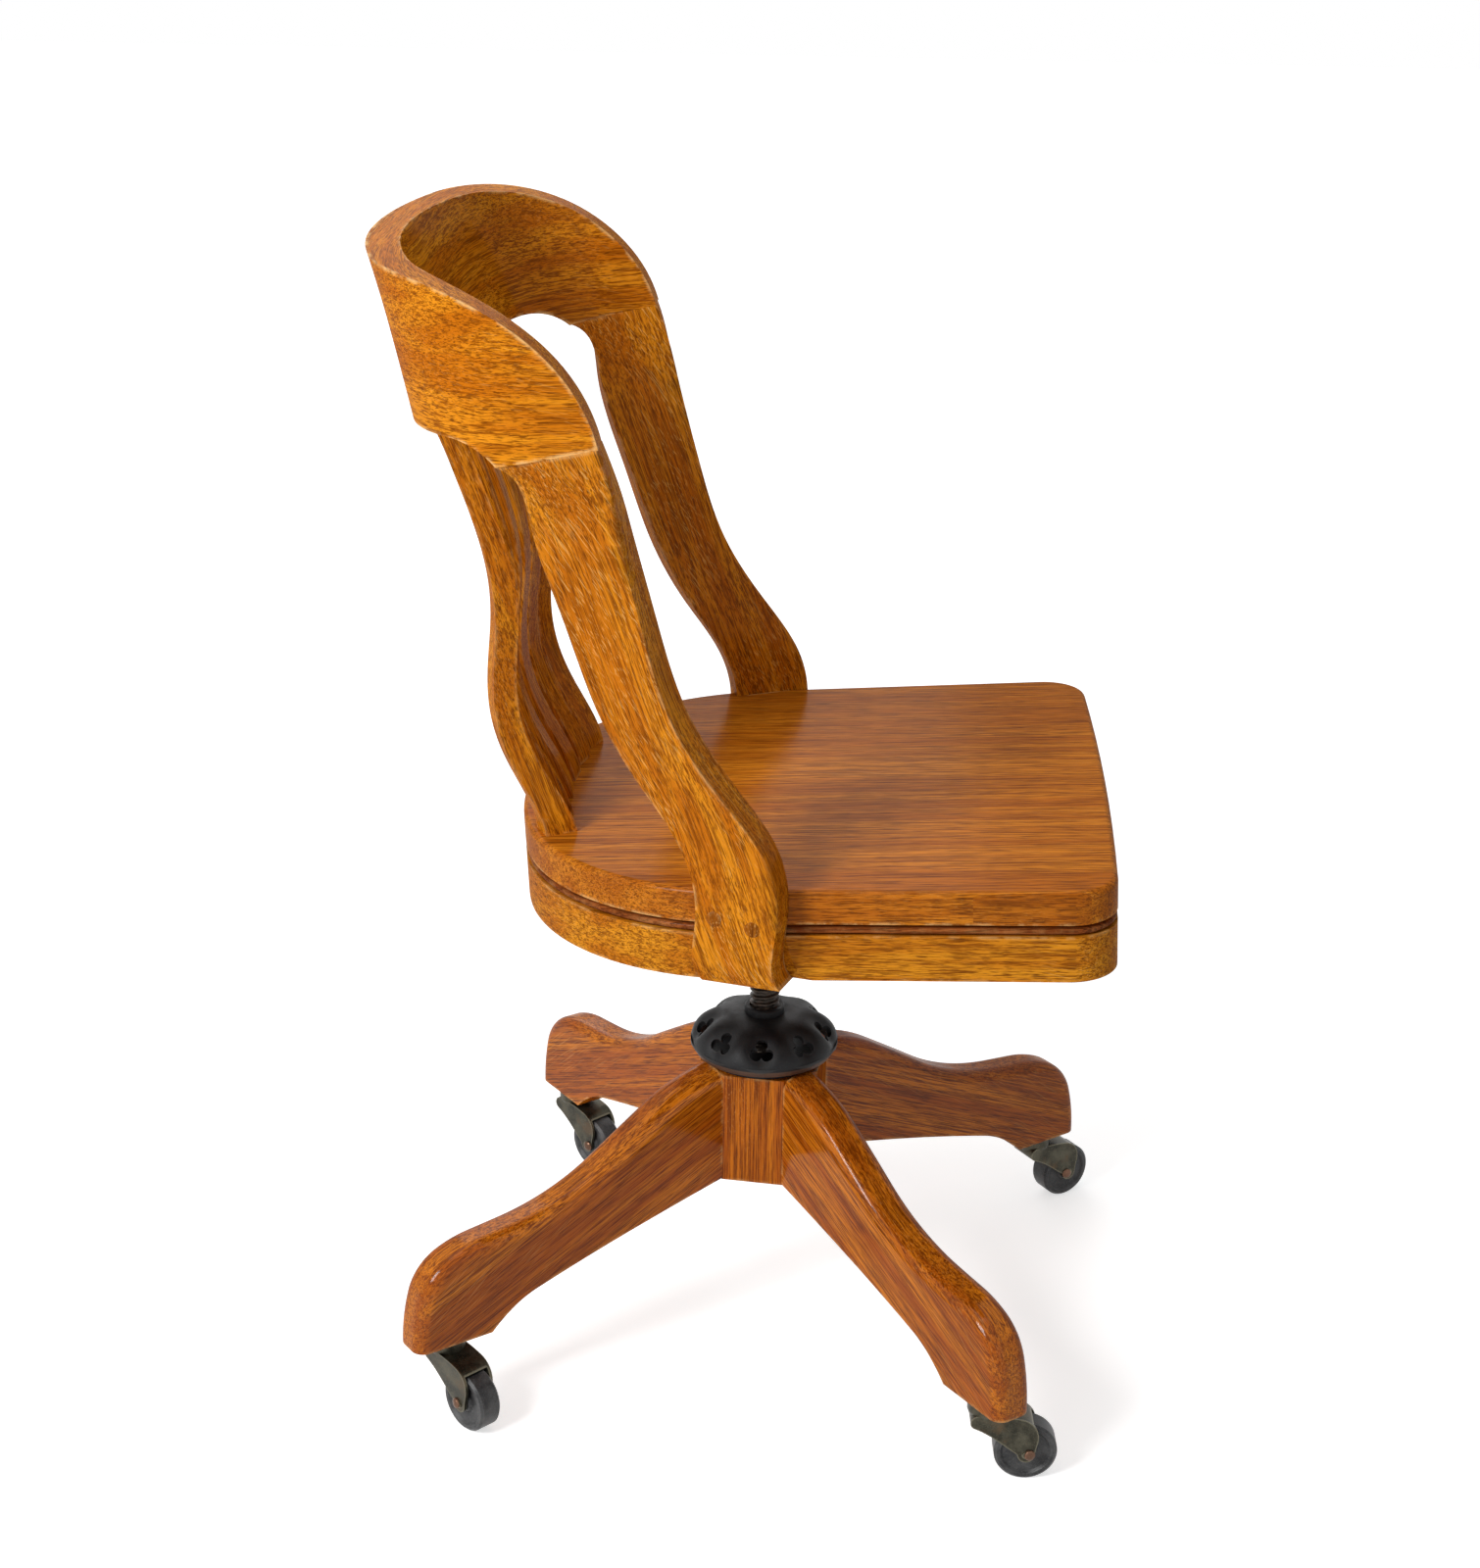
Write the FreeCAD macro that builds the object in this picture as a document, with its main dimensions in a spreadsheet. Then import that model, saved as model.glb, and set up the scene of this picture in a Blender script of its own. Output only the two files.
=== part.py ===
import FreeCAD, Part
import os
import Sketcher
from math import asin, atan2, cos, pi, radians, sin, sqrt, tan

Vector = FreeCAD.Vector
Rotation = FreeCAD.Rotation
Placement = FreeCAD.Placement
X_AXIS = Vector(1, 0, 0)
Z_AXIS = Vector(0, 0, 1)

# Sizes in millimetres and degrees. The floor is z = 0, the screw axis is x = y = 0, the front is -Y.
SIZES = {
    # Base: octagonal hub post, four legs and their feet
    "leg_thickness": 35,
    "hub_leg_face": 54,
    "hub_bottom": 143,
    "hub_top": 242,
    "hub_bore_radius": 18.5,
    "leg_turn": 37.5,
    "leg_top_round": 11,
    "foot_height": 70,
    "foot_outer": 350,
    "foot_inner": 281,
    "caster_circle": 314,
    "shoulder_height": 244,
    "dowel_radius": 6,
    "dowel_length": 46,
    "dowel_low": 172,
    "dowel_high": 214,
    "bore_room": 1,
    "wood_fit": 0.05,
    # Bearing plate and its sleeve
    "plate_radius": 50,
    "plate_thickness": 5,
    "plate_bevel": 1.5,
    "sleeve_radius": 18.4,
    "sleeve_length": 60,
    "guide_clearance": 0.4,
    # Hand wheel
    "wheel_radius": 63,
    "wheel_rim_depth": 9,
    "wheel_rim_bevel": 1.5,
    "wheel_height": 41,
    "wheel_hub_wall": 11,
    "wheel_rim_wall": 9,
    "wheel_web": 6,
    "collar_radius": 17,
    "collar_height": 6,
    "petals": 9,
    "scallop_radius": 11.5,
    "scallop_circle": 57,
    "pierce_radius": 6.5,
    "pierce_circle": 50,
    # Height screw
    "screw_radius": 12.7,
    "screw_bottom": 150,
    "screw_fit": 0.06,
    "screw_end_room": 1,
    # Seat, in a frame of its own that leans back
    "seat_height": 492.2,
    "seat_lean": 2.9,
    "seat_half_width": 228.5,
    "seat_splay": 2.58,
    "seat_front": 276.8,
    "seat_front_bow": 2.35,
    "seat_front_corner": 37,
    "seat_rear": 201.5,
    "seat_rear_radius": 334,
    "seat_corner_radius": 200,
    "board_thickness": 26.5,
    "board_round": 5,
    "bead_thickness": 9.5,
    "bead_inset": 1,
    "apron_depth": 37,
    "apron_width": 22,
    # Seat iron
    "iron_thickness": 6,
    "iron_arm_width": 32,
    "iron_arm_length": 300,
    "iron_arm_turn": 40,
    "iron_overlap": 3,
    "iron_hub_radius": 24,
    "iron_hub_depth": 36,
    "screw_top_gap": 3,
    # Back posts and the sloping joint that carries the crest
    "post_thickness": 26,
    "notch_fit": 0.3,
    "notch_reach": 40,
    "joint_front": 96,
    "joint_front_height": 351,
    "joint_rear": 170,
    "joint_rear_height": 338,
    "trim_margin": 60,
    # Slats
    "slat_width": 24,
    "slat_foot_thickness": 26,
    "slat_thickness": 18,
    "slat_sway": 15,
    "slat_foot_pitch": 39,
    "slat_top_pitch": 49,
    "slat_foot_back": 173.5,
    "slat_foot_curve": 9,
    "slat_foot_toe": 10,
    "slat_top_toe": 4.3,
    # Crest rail
    "crest_thickness": 26,
    "crest_low": 330,
    "crest_high": 470,
    "crest_underside": 355,
    "crest_sweep": 37.5,
    "crest_low_half_width": 259,
    "crest_low_corner": 106,
    "crest_low_rear": 244,
    "crest_high_half_width": 242,
    "crest_high_corner": 143,
    "crest_high_rear": 290,
    "crest_corner_centre": 131,
    "crest_tip": 60,
    "crest_flare": 6,
    "crest_curve_back": 270,
    "crest_curve_length": 177,
    "crest_curve_foot": 328,
    "crest_curve_height": 140,
    # Casters
    "caster_wheel_radius": 25.4,
    "caster_wheel_width": 20,
    "caster_wheel_hub": 8,
    "caster_wheel_bevel": 2,
    "caster_tread_depth": 5,
    "caster_trail": 32.4,
    "caster_axle_radius": 3,
    "caster_axle_end": 1,
    "stem_radius": 4,
    "stem_length": 36,
    "stem_bevel": 1,
    "socket_radius": 5.5,
    "socket_end": 1.5,
    "socket_room": 0.5,
    "socket_flange_radius": 14,
    "socket_flange": 1.2,
    "cup_radius": 15,
    "cup_foot": 12,
    "cup_depth": 6,
    "fork_metal": 2.5,
    "fork_gap": 1.5,
    "fork_nose": 7,
    "running_fit": 0.05,
}
# Stations up a back post: height above the seat, sideways, back, width of the wide face, toe angle.
POST_STATIONS = {
    "foot": (-73, 226, 8.6, 64, 20.5),
    "seat": (-20, 233.3, 10.8, 65, 17.3),
    "knee": (35, 231.6, 17.5, 67, 19.5),
    "hip": (85, 228.3, 46.4, 66, 23.5),
    "waist": (145, 228, 77.6, 61, 23.5),
    "middle": (215, 227.5, 97.4, 62.5, 20.5),
    "shoulder": (290, 235.2, 114.5, 66.5, 13.5),
    "top": (362, 247, 137, 77, 4.5),
}
STATION_WORDS = ("height", "out", "back", "width", "toe")
for station, values in POST_STATIONS.items():
    for word, value in zip(STATION_WORDS, values):
        SIZES["post_" + station + "_" + word] = value

doc = FreeCAD.newDocument("SwivelChair")
sheet = doc.addObject("Spreadsheet::Sheet", "Sizes")
for row, (alias, value) in enumerate(SIZES.items(), start=1):
    sheet.set("A%d" % row, alias)
    sheet.set("B%d" % row, str(value))
    sheet.setAlias("B%d" % row, alias)
doc.recompute()

# Stops along the leg outline: shares of its reach and of its height above the foot, and the way it runs.
LEG_TOP = (((0, 1), (1, -0.12)), ((0.38, 0.69), (1, -0.64)), ((0.68, 0.51), (1, -0.12)),
           ((0.885, 0.445), (1, -0.44)), ((1, 0), (0, -1)))
LEG_UNDER = (((1, 0), (-0.7, 0.71)), ((0.81, 0.158), (-1, 0.3)), ((0, 0.425), (-1, 0.22)))
# Stops up the dome of the hand wheel, from rim to collar: shares of its width and height.
WHEEL_DOME = (((0.98, 0), (-0.15, 1)), ((0.6, 0.8), (-1, 0.55)), ((0.2, 1), (-1, 0)))
SLAT_COUNT = 6
# How far a slat sways back at each eighth of its height, as shares of the greatest sway.
SLAT_SWAYS = (0, 0.5, 1, 0.57, -0.37, -0.9, -0.84, -0.58, 0)
# Stops down the fork of a caster in side view, as shares of the trail and of the crown height.
HORN_FRONT = (((1.27, 0.84), (-0.3, 1)),)
HORN_REAR = (((-0.4, 0.98), (0.1, -1)), ((-0.12, 0.85), (1, -0.55)))
FORK_WIDTH = "Sizes.caster_wheel_width + 2 * Sizes.fork_gap + 2 * Sizes.fork_metal"
HORN_TOP_HALF = 0.25
HORN_TOP_HEIGHT = 1.11

parts = []


def size(alias):
    return float(sheet.get(alias))


def new_body(label, placement=None):
    body = doc.addObject("PartDesign::Body", label)
    body.Label = label
    if placement is not None:
        body.Placement = placement
    parts.append(body)
    return body


def new_sketch(body, name, role, offset=Vector(0, 0, 0), turn=0.0, lift=None):
    sketch = body.newObject("Sketcher::SketchObject", name)
    plane = [item for item in body.Origin.OriginFeatures if item.Role == role][0]
    sketch.AttachmentSupport = [(plane, "")]
    sketch.MapMode = "FlatFace"
    sketch.AttachmentOffset = Placement(offset, Rotation(Z_AXIS, turn))
    if lift:
        sketch.setExpression("AttachmentOffset.Base.z", lift)
    return sketch


def line(start, end):
    return Part.LineSegment(Vector(start[0], start[1], 0), Vector(end[0], end[1], 0))


def arc(start, middle, end):
    return Part.Arc(*[Vector(spot[0], spot[1], 0) for spot in (start, middle, end)])


# An arc from start to end that leaves at a given angle to its chord.
def bowed(start, end, lead):
    chord = end - start
    side = Vector(-chord.y, chord.x, 0)
    middle = (start + end) / 2 + side * (tan(lead / 2) / 2)
    return Part.Arc(start, middle, end)


def angle_between(one, other):
    return atan2(one.x * other.y - one.y * other.x, one.dot(other))


# A smooth run of arcs through stops, each a point and the way the run passes it.
def tangent_arcs(stops):
    stops = [(Vector(*spot, 0), Vector(*way, 0).normalize()) for spot, way in stops]
    curves = []
    for (start, leave), (end, arrive) in zip(stops, stops[1:]):
        chord = end - start
        forward = chord.dot(leave + arrive)
        bend = 1 - leave.dot(arrive)
        reach = (sqrt(forward ** 2 + 2 * bend * chord.dot(chord)) - forward) / (2 * bend)
        meet = (start + leave * reach + end - arrive * reach) / 2
        curves.append(bowed(start, meet, angle_between(meet - start, leave)))
        curves.append(bowed(meet, end, -angle_between(end - meet, arrive)))
    return curves


def polygon(points):
    return [line(points[index - 1], points[index]) for index in range(len(points))]


def mirrored(spot):
    return (-spot[0], spot[1])


def draw(sketch, curves):
    for curve in curves:
        sketch.addGeometry(curve, False)
    doc.recompute()


# A circle tied to the sheet: its radius, and its centre at the named distances along the sketch axes.
def circle(sketch, radius_alias, across=None, up=None, room=None):
    centre = Vector(size(across) if across else 0, size(up) if up else 0, 0)
    number = sketch.addGeometry(Part.Circle(centre, Z_AXIS, size(radius_alias)), False)
    for way, alias, place, axis in (("DistanceX", across, centre.x, -2), ("DistanceY", up, centre.y, -1)):
        if alias:
            mark = sketch.addConstraint(Sketcher.Constraint(way, -1, 1, number, 3, place))
            sketch.setExpression("Constraints[%d]" % mark, "Sizes." + alias)
        else:
            sketch.addConstraint(Sketcher.Constraint("PointOnObject", number, 3, axis))
    mark = sketch.addConstraint(Sketcher.Constraint("Radius", number, size(radius_alias)))
    formula = "Sizes." + radius_alias
    if room:
        formula += " + Sizes." + room
    sketch.setExpression("Constraints[%d]" % mark, formula)


def rectangle(sketch, width, depth, width_formula, depth_formula):
    corners = [(x * width / 2, y * depth / 2) for x, y in ((-1, -1), (1, -1), (1, 1), (-1, 1))]
    for index in range(4):
        sketch.addGeometry(line(corners[index], corners[(index + 1) % 4]), False)
    for index in range(4):
        sketch.addConstraint(Sketcher.Constraint("Coincident", index, 2, (index + 1) % 4, 1))
    for index, way in enumerate(("Horizontal", "Vertical", "Horizontal", "Vertical")):
        sketch.addConstraint(Sketcher.Constraint(way, index))
    sketch.addConstraint(Sketcher.Constraint("Symmetric", 0, 1, 1, 2, -1, 1))
    wide = sketch.addConstraint(Sketcher.Constraint("DistanceX", 0, 1, 0, 2, width))
    sketch.setExpression("Constraints[%d]" % wide, width_formula)
    deep = sketch.addConstraint(Sketcher.Constraint("DistanceY", 1, 1, 1, 2, depth))
    sketch.setExpression("Constraints[%d]" % deep, depth_formula)


def measured(feature, sketch, formula, both, back):
    feature.Profile = sketch
    if formula:
        feature.setExpression("Length", formula)
    if both:
        feature.SideType = "Symmetric"
    feature.Reversed = back
    doc.recompute()
    return feature


def pad(body, sketch, name, formula, both=False, back=False):
    return measured(body.newObject("PartDesign::Pad", name), sketch, formula, both, back)


# A pocket with no depth formula goes right through.
def pocket(body, sketch, name, formula=None, both=False, back=False):
    feature = body.newObject("PartDesign::Pocket", name)
    if formula is None:
        feature.Type = "ThroughAll"
    return measured(feature, sketch, formula, both, back)


def turned(body, sketch, name):
    feature = body.newObject("PartDesign::Revolution", name)
    feature.Profile = sketch
    feature.ReferenceAxis = (sketch, ["V_Axis"])
    feature.Angle = 360
    doc.recompute()
    return feature


def around(body, feature, name, count, formula=None):
    pattern = body.newObject("PartDesign::PolarPattern", name)
    pattern.Originals = [feature]
    axis = [item for item in body.Origin.OriginFeatures if item.Role == "Z_Axis"][0]
    pattern.Axis = (axis, [""])
    pattern.Angle = 360
    pattern.Occurrences = int(count)
    if formula:
        pattern.setExpression("Occurrences", formula)
    body.Tip = pattern
    doc.recompute()


def rounded(body, name, radius_alias, chosen):
    base = body.Tip
    names = ["Edge%d" % (index + 1) for index, edge in enumerate(base.Shape.Edges) if chosen(edge)]
    feature = body.newObject("PartDesign::Fillet", name)
    feature.Base = (base, names)
    feature.Radius = size(radius_alias)
    feature.setExpression("Radius", "Sizes." + radius_alias)
    doc.recompute()
    return feature


def lofted(body, name, sketches, cut=False):
    feature = body.newObject("PartDesign::SubtractiveLoft" if cut else "PartDesign::AdditiveLoft", name)
    feature.Profile = sketches[0]
    feature.Sections = sketches[1:]
    feature.Ruled = len(sketches) == 2
    doc.recompute()
    return feature


LEGS = {"rear_left": 0, "rear_right": 1, "front_right": 2, "front_left": 3}
CASTER_HEADINGS = {"rear_left": 226, "rear_right": 226, "front_right": 273.3, "front_left": 304.6}
DOWEL_LEVELS = ("dowel_low", "dowel_high")


# One bore for a leg dowel, sunk from the face where hub and leg meet.
def dowel_bore(body, level, into_leg):
    hole = new_sketch(body, "DowelHole_" + level, "YZ_Plane", lift="Sizes.hub_leg_face")
    circle(hole, "dowel_radius", up=level, room="wood_fit")
    return pocket(body, hole, "DowelCut_" + level, "Sizes.dowel_length / 2 + Sizes.bore_room", back=into_leg)


# Hub post: an octagon whose faces meet the legs squarely, bored for the sleeve and the leg dowels.
half_leg = size("leg_thickness") / 2
face = size("hub_leg_face")
hub = new_body("hub_post", Placement(Vector(0, 0, 0), Rotation(Z_AXIS, size("leg_turn"))))
hub_outline = new_sketch(hub, "HubOutline", "XY_Plane", lift="Sizes.hub_bottom")
octagon = []
for quarter in LEGS.values():
    turn = Rotation(Z_AXIS, 90 * quarter)
    octagon += [turn.multVec(Vector(face, across, 0)) for across in (-half_leg, half_leg)]
draw(hub_outline, polygon([(corner.x, corner.y) for corner in octagon]))
pad(hub, hub_outline, "HubBlock", "Sizes.hub_top - Sizes.hub_bottom")
hub_bore = new_sketch(hub, "HubBore", "XY_Plane", lift="Sizes.hub_bottom")
circle(hub_bore, "hub_bore_radius")
pocket(hub, hub_bore, "HubBoreCut", back=True)
for level in DOWEL_LEVELS:
    around(hub, dowel_bore(hub, level, False), "DowelCuts_" + level, len(LEGS))

# Leg dowels: two to each leg, half in the hub and half in the leg.
dowel_pieces = []
for quarter in LEGS.values():
    outward = Rotation(Z_AXIS, size("leg_turn") + 90 * quarter).multVec(X_AXIS)
    for level in DOWEL_LEVELS:
        dowel = doc.addObject("Part::Cylinder", "Dowel")
        dowel.setExpression("Radius", "Sizes.dowel_radius")
        dowel.setExpression("Height", "Sizes.dowel_length")
        start = outward * (face - size("dowel_length") / 2) + Z_AXIS * size(level)
        dowel.Placement = Placement(start, Rotation(Z_AXIS, outward))
        dowel_pieces.append(dowel)
dowels = doc.addObject("Part::Compound", "leg_dowels")
dowels.Links = dowel_pieces
dowels.Label = "leg_dowels"
parts.append(dowels)


# A leg: an S-curved top from the hub to a rounded foot, with a bore for the caster socket.
def make_leg(label, turn):
    body = new_body(label, Placement(Vector(0, 0, 0), Rotation(Z_AXIS, turn)))
    low = size("foot_height")
    tall = size("shoulder_height") - low
    outer = size("foot_outer") - face
    inner = size("foot_inner") - face
    top = [((face + outer * out, low + tall * up), way) for (out, up), way in LEG_TOP]
    under = [((face + inner * out, low + tall * up), way) for (out, up), way in LEG_UNDER]
    outline = new_sketch(body, "LegOutline", "XZ_Plane")
    draw(outline, tangent_arcs(top) + [line(top[-1][0], under[0][0])] + tangent_arcs(under) +
         [line(under[-1][0], top[0][0])])
    pad(body, outline, "LegBlank", "Sizes.leg_thickness", both=True)

    def on_top(edge):
        middle = edge.valueAt((edge.FirstParameter + edge.LastParameter) / 2)
        halfway_up = tall * (0.6 - 0.5 * (middle.x - face) / outer)
        box = edge.BoundBox
        return middle.z - low > halfway_up and box.YLength < half_leg and box.XLength > 1
    rounded(body, "LegRound", "leg_top_round", on_top)
    for level in DOWEL_LEVELS:
        dowel_bore(body, level, True)
    bore = new_sketch(body, "SocketBore", "XY_Plane", lift="Sizes.foot_height")
    circle(bore, "socket_radius", across="caster_circle", room="wood_fit")
    pocket(body, bore, "SocketBoreCut", "Sizes.stem_length + Sizes.socket_end + Sizes.socket_room + "
           "Sizes.bore_room", back=True)


for place, quarter in LEGS.items():
    make_leg("leg_" + place, size("leg_turn") + 90 * quarter)

# Bearing plate with the sleeve that stands in the hub bore.
bearing = new_body("bearing_plate")
section = new_sketch(bearing, "BearingSection", "XZ_Plane")
hub_top = size("hub_top")
plate_top = hub_top + size("plate_thickness")
guide = size("screw_radius") + size("guide_clearance")
sleeve = size("sleeve_radius")
plate = size("plate_radius")
sleeve_end = hub_top - size("sleeve_length")
bevel = size("plate_bevel")
draw(section, polygon([(guide, sleeve_end), (sleeve, sleeve_end), (sleeve, hub_top), (plate, hub_top),
                       (plate, plate_top - bevel), (plate - bevel, plate_top), (guide, plate_top)]))
turned(bearing, section, "BearingTurned")

# Hand wheel: a domed iron nut on a round rim, its dome scooped into scallops that are each pierced.
wheel = new_body("hand_wheel", Placement(Vector(0, 0, 0), Rotation(Z_AXIS, 180 / size("petals"))))
section = new_sketch(wheel, "WheelSection", "XZ_Plane")
low = plate_top + size("running_fit")
high = low + size("wheel_height")
rim = size("wheel_radius")
rim_top = low + size("wheel_rim_depth")
bore = size("screw_radius") + size("screw_fit")
collar = size("collar_radius")
neck = high - size("collar_height")
bevel = size("wheel_rim_bevel")
hub_wall = bore + size("wheel_hub_wall")
rim_wall = rim - size("wheel_rim_wall")
web_low = low + size("wheel_web") / 2
dome_wide = rim - collar
dome_tall = neck - rim_top
dome = [((collar + out * dome_wide, rim_top + up * dome_tall), way) for (out, up), way in WHEEL_DOME]
draw(section, tangent_arcs(dome) + polygon(
    [dome[-1][0], (collar, neck), (collar, high - bevel), (collar - bevel, high), (bore, high), (bore, low),
     (hub_wall, low), (hub_wall + bevel, web_low), (rim_wall - bevel, web_low), (rim_wall, low),
     (rim - bevel, low), (rim, low + bevel), (rim, rim_top - bevel), dome[0][0]])[1:])
turned(wheel, section, "WheelTurned")
scallop = new_sketch(wheel, "Scallop", "XY_Plane", lift="Sizes.hub_top + Sizes.plate_thickness + "
                     "Sizes.running_fit + Sizes.wheel_rim_depth")
circle(scallop, "scallop_radius", across="scallop_circle")
around(wheel, pocket(wheel, scallop, "ScallopCut", back=True), "Scallops", size("petals"), "Sizes.petals")
piercing = new_sketch(wheel, "Piercing", "XY_Plane")
circle(piercing, "pierce_radius", across="pierce_circle")
around(wheel, pocket(wheel, piercing, "PiercingCut", back=True), "Piercings", size("petals"), "Sizes.petals")

# Height screw: a plain round spindle, upright under the leaning seat.
seat_z = size("seat_height")
seat_place = Placement(Vector(0, 0, seat_z), Rotation(X_AXIS, -size("seat_lean")))
iron_top = -size("board_thickness")
iron_low = iron_top - size("iron_thickness")
SCREW_LENGTH = ("Sizes.seat_height - Sizes.board_thickness - Sizes.iron_thickness - Sizes.screw_top_gap - "
                "Sizes.screw_bottom")
spindle = doc.addObject("Part::Cylinder", "screw_spindle")
spindle.Label = "screw_spindle"
spindle.setExpression("Radius", "Sizes.screw_radius")
spindle.setExpression("Height", SCREW_LENGTH)
spindle.Placement = Placement(Vector(0, 0, size("screw_bottom")), Rotation())
parts.append(spindle)


# The seat outline seen from above, moved in or out by a given amount: bowed front, round front corners,
# splayed sides and a rear made of three arcs.
def seat_outline(inset=0.0):
    splay = radians(size("seat_splay"))
    side = size("seat_half_width") - inset / cos(splay)
    corner = size("seat_front_corner") - inset
    front = -size("seat_front") + inset
    flat = radians(size("seat_front_bow"))
    rear_radius = size("seat_rear_radius") - inset
    turn_radius = size("seat_corner_radius") - inset
    rear = size("seat_rear") - inset
    centre_x = (size("seat_half_width") - size("seat_corner_radius")) / cos(splay)
    gap = size("seat_rear_radius") - size("seat_corner_radius")
    centre_y = size("seat_rear") - size("seat_rear_radius") + sqrt(gap ** 2 - centre_x ** 2)
    side_top = (centre_x + turn_radius * cos(splay), centre_y + turn_radius * sin(splay))
    swing = atan2(centre_x, centre_y - rear + rear_radius)
    join = (rear_radius * sin(swing), rear - rear_radius + rear_radius * cos(swing))
    halfway = (splay + pi / 2 - swing) / 2
    turn_middle = (centre_x + turn_radius * cos(halfway), centre_y + turn_radius * sin(halfway))
    slope = sin(splay) / cos(splay)
    sag = (size("seat_half_width") - size("seat_front_corner")) * tan(flat / 2)
    corner_y = front + sag + corner * cos(flat)
    edge_x = side_top[0] + (side_top[1] - corner_y) * slope
    corner_x = edge_x - corner / cos(splay)
    start_turn = -pi / 2 + flat
    front_end = (corner_x + corner * cos(start_turn), corner_y + corner * sin(start_turn))
    corner_end = (corner_x + corner * cos(splay), corner_y + corner * sin(splay))
    mid_turn = (start_turn + splay) / 2
    corner_middle = (corner_x + corner * cos(mid_turn), corner_y + corner * sin(mid_turn))
    half = [arc(front_end, corner_middle, corner_end), line(corner_end, side_top),
            arc(side_top, turn_middle, join)]
    other_half = [arc(*map(mirrored, (join, turn_middle, side_top))),
                  line(mirrored(side_top), mirrored(corner_end)),
                  arc(*map(mirrored, (corner_end, corner_middle, front_end)))]
    front_edge = arc(mirrored(front_end), (0, front), front_end)
    return [front_edge] + half + [arc(join, (0, rear), mirrored(join))] + other_half


def station_sizes(station):
    return [size("post_" + station + "_" + word) for word in STATION_WORDS]


# The space a back post takes in the side of the seat: its own curve, a little larger and open outward.
def post_notches(body):
    deep = size("post_thickness") / 2 + size("notch_fit")
    reach = size("notch_reach")
    for side, hand in ((1, "Left"), (-1, "Right")):
        levels = []
        for station in POST_STATIONS:
            height, out, back, wide, toe = station_sizes(station)
            spot = Vector(side * out, back, height - size("notch_fit"))
            section = new_sketch(body, "Notch" + hand + "_" + station, "XY_Plane", spot, side * toe)
            end = wide / 2 + size("notch_fit")
            near = -side * deep
            far = side * (deep + reach)
            draw(section, polygon([(near, -end - reach), (far, -end - reach), (far, end), (near, end)]))
            levels.append(section)
        body.Tip = lofted(body, "Notch" + hand, levels, cut=True)


# One level of the seat, cut to its outline and notched for the posts; a ring where a width is given.
def seat_layer(label, top_formula, depth_formula, inset, ring_width=0.0):
    body = new_body(label, seat_place)
    outline = new_sketch(body, "Outline", "XY_Plane", lift=top_formula)
    draw(outline, seat_outline(inset))
    pad(body, outline, "Layer", depth_formula, back=True)
    if ring_width:
        inside = new_sketch(body, "Inside", "XY_Plane", lift=top_formula)
        draw(inside, seat_outline(inset + ring_width))
        pocket(body, inside, "InsideCut")
    post_notches(body)
    return body


# The edges around the top of the seat, without those in the notches.
def top_rim(edge):
    middle = edge.valueAt((edge.FirstParameter + edge.LastParameter) / 2)
    at_post = abs(middle.y - size("post_seat_back")) < size("post_seat_width") * 0.8
    at_side = abs(middle.x) > size("seat_half_width") * 0.85
    return edge.BoundBox.ZMin > -size("board_round") / 2 and not (at_post and at_side)


board = seat_layer("seat_board", "0", "Sizes.board_thickness", 0)
rounded(board, "BoardRound", "board_round", top_rim)
seat_layer("bead_moulding", "-Sizes.board_thickness", "Sizes.bead_thickness", size("bead_inset"),
           size("apron_width"))
seat_layer("seat_apron", "-Sizes.board_thickness - Sizes.bead_thickness", "Sizes.apron_depth", 0,
           size("apron_width"))


# Seat iron: a crossed plate under the board with an upright socket for the screw.
def iron_arm(name, turn):
    arm = doc.addObject("Part::Box", name)
    arm.setExpression("Length", "Sizes.iron_arm_length")
    arm.setExpression("Width", "Sizes.iron_arm_width")
    arm.setExpression("Height", "Sizes.iron_thickness")
    middle = Vector(-size("iron_arm_length") / 2, -size("iron_arm_width") / 2, 0)
    way = Rotation(Z_AXIS, turn)
    arm.Placement = Placement(way.multVec(middle) + Z_AXIS * iron_low, way)
    return arm


# A cylinder upright in the room, given in the leaning frame of the seat.
def upright_cylinder(name, radius_formula, length_formula, low_end):
    upright = Rotation(X_AXIS, size("seat_lean"))
    piece = doc.addObject("Part::Cylinder", name)
    piece.setExpression("Radius", radius_formula)
    piece.setExpression("Height", length_formula)
    piece.Placement = Placement(upright.multVec(Z_AXIS * low_end), upright)
    return piece


arms = [iron_arm("IronArmOne", size("iron_arm_turn")), iron_arm("IronArmTwo", -size("iron_arm_turn"))]
socket = upright_cylinder("IronSocket", "Sizes.iron_hub_radius", "Sizes.iron_hub_depth + Sizes.iron_overlap",
                          iron_low - size("iron_hub_depth"))
plus = doc.addObject("Part::MultiFuse", "IronSolid")
plus.Shapes = arms + [socket]
reach = upright_cylinder("ScrewSocket", "Sizes.screw_radius + Sizes.screw_fit",
                         SCREW_LENGTH + " + Sizes.screw_end_room", size("screw_bottom") - seat_z)
iron = doc.addObject("Part::Cut", "seat_iron")
iron.Base = plus
iron.Tool = reach
iron.Placement = seat_place
iron.Label = "seat_iron"
parts.append(iron)


# A cut through the whole width of a piece, drawn in side view: the first axis runs back, the second up.
def side_cut(body, name, curves):
    view = new_sketch(body, name + "View", "YZ_Plane")
    draw(view, curves)
    pocket(body, view, name, both=True)


# Where the sloping joint between posts and crest lies at a given distance back.
def joint_height(back):
    front = size("joint_front")
    fall = (size("joint_rear_height") - size("joint_front_height")) / (size("joint_rear") - front)
    return size("joint_front_height") + fall * (back - front)


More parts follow.
